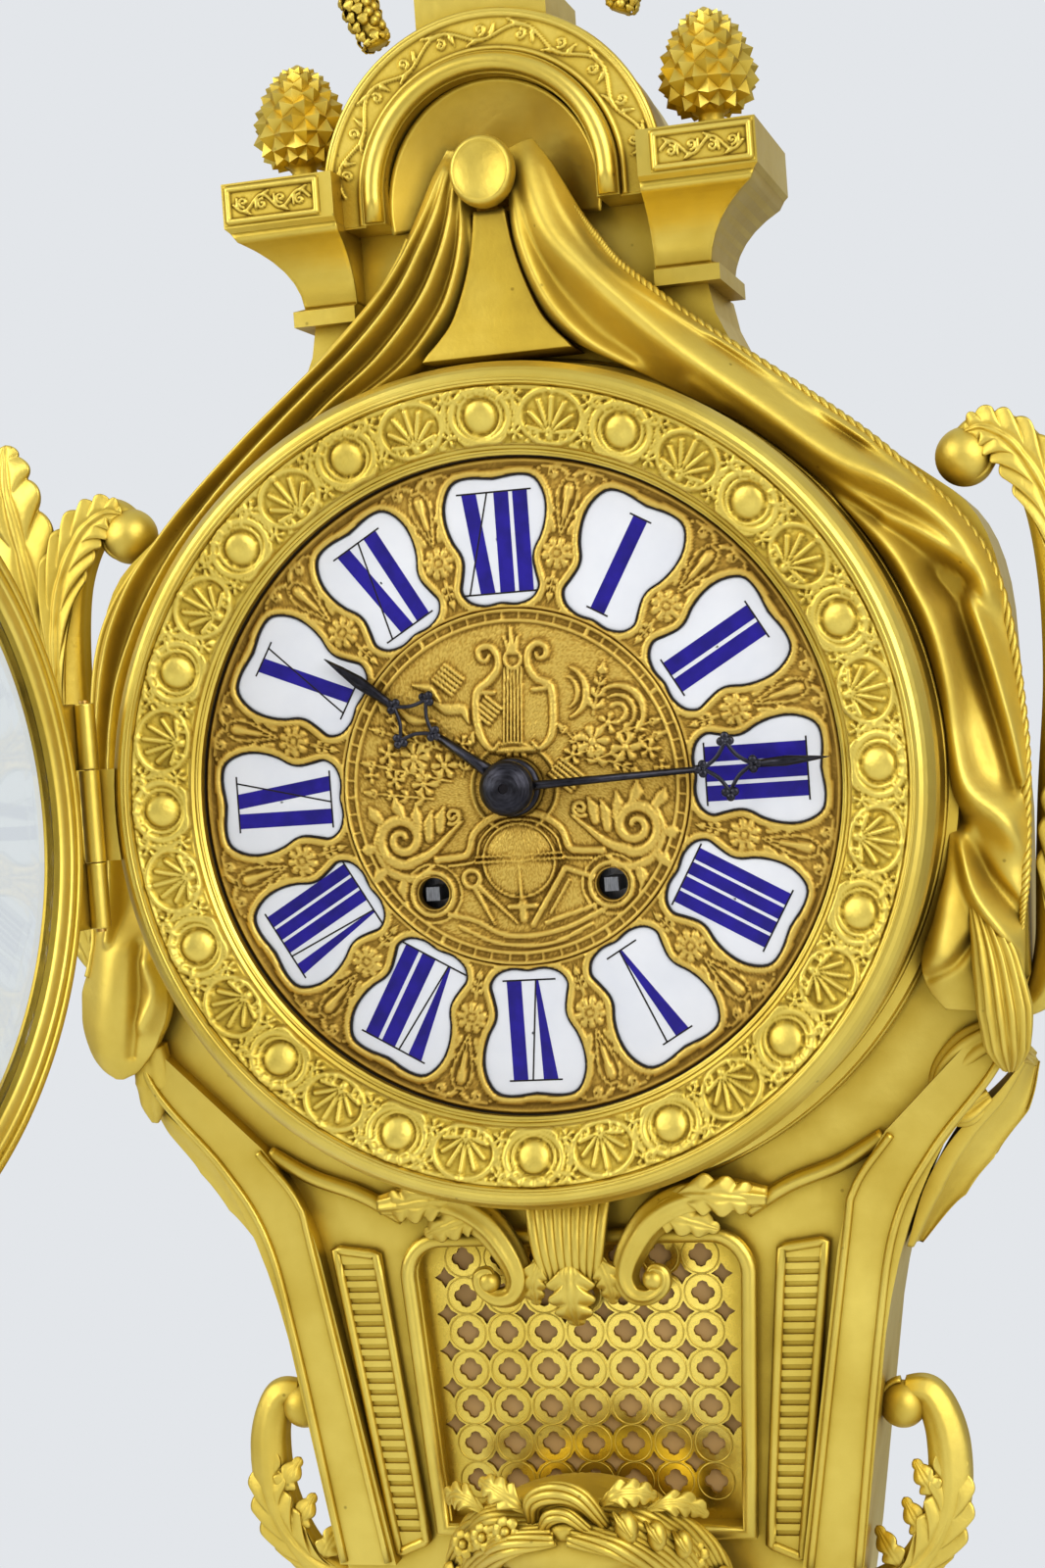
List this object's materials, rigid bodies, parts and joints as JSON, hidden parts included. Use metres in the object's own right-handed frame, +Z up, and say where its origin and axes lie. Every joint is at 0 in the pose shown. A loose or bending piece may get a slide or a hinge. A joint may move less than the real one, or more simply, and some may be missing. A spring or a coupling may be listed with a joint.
{
  "type": "cartel clock",
  "caption": "Gilt bronze wall clock with an arched top, cloth swags, acanthus wings, a mask and a hinged glazed door over an enamel numeral dial; spring-driven striking pendulum movement.",
  "frame": {"origin": "centre of the hook hole at the wall plane", "axes": "+Z up, +Y into the wall, the dial faces -Y"},
  "size_m": [0.3911, 0.3531, 0.801],
  "materials": {
    "gilt": "fire gilt bronze, matt with burnished high points",
    "brass": "brushed brass",
    "steel": "ground steel",
    "blued": "blued steel",
    "enamel": "fired white enamel",
    "glass": "bevelled clear glass",
    "cloth": "gold silk"
  },
  "bodies": {
    "case": {"case_body": "gilt", "drum_ring": "gilt", "pediment": "gilt", "keystone": "gilt", "drapery_knob": "gilt", "drapery_left": "gilt", "drapery_right": "gilt", "pine_cones": "gilt", "urn": "gilt", "urn_garlands": "gilt", "wings": "gilt", "lower_scrolls": "gilt", "palmette": "gilt", "flute_panels": "gilt", "fret_grille": "gilt", "fret_cloth": "cloth", "mask": "gilt", "bottom_leaf": "gilt", "seed_pod": "gilt", "hanger_plate": "steel", "hanger_screws": "steel", "rear_cover": "brass", "dial_bezel": "gilt", "hinge_pin": "brass", "dial_plate": "gilt", "numeral_plaques": "enamel", "strap_bolts": "steel", "front_plate": "brass", "back_plate": "brass", "pillars": "brass", "clicks": "steel", "back_cock": "brass", "bell": "brass", "bell_stand": "brass"},
    "door": {"door_frame": "gilt", "door_glass": "glass", "door_catch": "gilt"},
    "minute": {"centre_arbor": "brass", "cannon_pinion": "brass", "minute_hand": "blued", "hand_nut": "blued"},
    "hour": {"hour_wheel": "brass", "hour_hand": "blued"},
    "motion": {"minute_wheel": "brass"},
    "intermediate": {"intermediate_wheel": "brass"},
    "third": {"third_wheel": "brass"},
    "escape": {"escape_wheel": "brass"},
    "going": {"going_barrel": "brass", "going_spring": "steel"},
    "going_winding": {"going_winder": "steel"},
    "strike": {"strike_barrel": "brass", "strike_spring": "steel"},
    "strike_winding": {"strike_winder": "steel"},
    "pins": {"pin_wheel": "brass"},
    "stop": {"stop_wheel": "brass"},
    "flier": {"fly": "brass"},
    "striker": {"hammer": "steel"},
    "rocker": {"anchor": "steel"},
    "pendulum": {"pendulum_rod": "brass", "pendulum_bob": "brass"}
  },
  "joints": [
    {"name": "door_hinge", "type": "hinge", "parent": "case", "child": "door", "pos_m": [-0.1322, -0.0945, -0.128], "axis": [0, 0, -1], "range_deg": [-104, 62]},
    {"name": "minute_turn", "type": "hinge", "parent": "case", "child": "minute", "pos_m": [0, -0.05, -0.128], "axis": [0, 1, 0], "continuous": true},
    {"name": "hour_turn", "type": "hinge", "parent": "case", "child": "hour", "pos_m": [0, -0.05, -0.128], "axis": [0, 1, 0], "continuous": true},
    {"name": "motion_turn", "type": "hinge", "parent": "case", "child": "motion", "pos_m": [0.0072, -0.05, -0.11553], "axis": [0, 1, 0], "continuous": true},
    {"name": "intermediate_turn", "type": "hinge", "parent": "case", "child": "intermediate", "pos_m": [0.02282, -0.05, -0.1332], "axis": [0, 1, 0], "continuous": true},
    {"name": "third_turn", "type": "hinge", "parent": "case", "child": "third", "pos_m": [-0.01422, -0.05, -0.11282], "axis": [0, 1, 0], "continuous": true},
    {"name": "escape_turn", "type": "hinge", "parent": "case", "child": "escape", "pos_m": [0, -0.05, -0.103], "axis": [0, 1, 0], "continuous": true},
    {"name": "going_barrel_turn", "type": "hinge", "parent": "case", "child": "going", "pos_m": [0.028, -0.05, -0.159], "axis": [0, 1, 0], "continuous": true},
    {"name": "going_wind", "type": "hinge", "parent": "case", "child": "going_winding", "pos_m": [0.028, -0.05, -0.159], "axis": [0, 1, 0], "continuous": true},
    {"name": "strike_barrel_turn", "type": "hinge", "parent": "case", "child": "strike", "pos_m": [-0.028, -0.05, -0.159], "axis": [0, 1, 0], "continuous": true},
    {"name": "strike_wind", "type": "hinge", "parent": "case", "child": "strike_winding", "pos_m": [-0.028, -0.05, -0.159], "axis": [0, 1, 0], "continuous": true},
    {"name": "pin_wheel_turn", "type": "hinge", "parent": "case", "child": "pins", "pos_m": [-0.03786, -0.05, -0.1346], "axis": [0, 1, 0], "continuous": true},
    {"name": "stop_wheel_turn", "type": "hinge", "parent": "case", "child": "stop", "pos_m": [-0.04068, -0.05, -0.11455], "axis": [0, 1, 0], "continuous": true},
    {"name": "fly_turn", "type": "hinge", "parent": "case", "child": "flier", "pos_m": [-0.0352, -0.05, -0.09952], "axis": [0, 1, 0], "continuous": true},
    {"name": "hammer_swing", "type": "hinge", "parent": "case", "child": "striker", "pos_m": [-0.028, -0.05, -0.078], "axis": [0, 1, 0], "range_deg": [-14, 3], "stiffness_Nm_per_rad": 0.01},
    {"name": "pendulum_swing", "type": "hinge", "parent": "case", "child": "pendulum", "pos_m": [0, -0.02, -0.0855], "axis": [0, 1, 0], "range_deg": [-3.5, 3.5]},
    {"name": "anchor_rock", "type": "hinge", "parent": "case", "child": "rocker", "pos_m": [0, -0.02, -0.0855], "axis": [0, 1, 0], "range_deg": [-3.5, 3.5]}
  ],
  "couplings": [
    {"joint": "third_turn", "follows": "escape_turn", "ratio": -0.090909},
    {"joint": "minute_turn", "follows": "escape_turn", "ratio": 0.0075758},
    {"joint": "hour_turn", "follows": "escape_turn", "ratio": 0.00063131},
    {"joint": "motion_turn", "follows": "escape_turn", "ratio": -0.0025253},
    {"joint": "intermediate_turn", "follows": "escape_turn", "ratio": -0.00094697},
    {"joint": "going_barrel_turn", "follows": "escape_turn", "ratio": 0.00011273},
    {"joint": "stop_wheel_turn", "follows": "fly_turn", "ratio": -0.11111},
    {"joint": "pin_wheel_turn", "follows": "fly_turn", "ratio": 0.011111},
    {"joint": "strike_barrel_turn", "follows": "fly_turn", "ratio": -0.0013228},
    {"joint": "anchor_rock", "follows": "pendulum_swing", "ratio": 1}
  ]
}
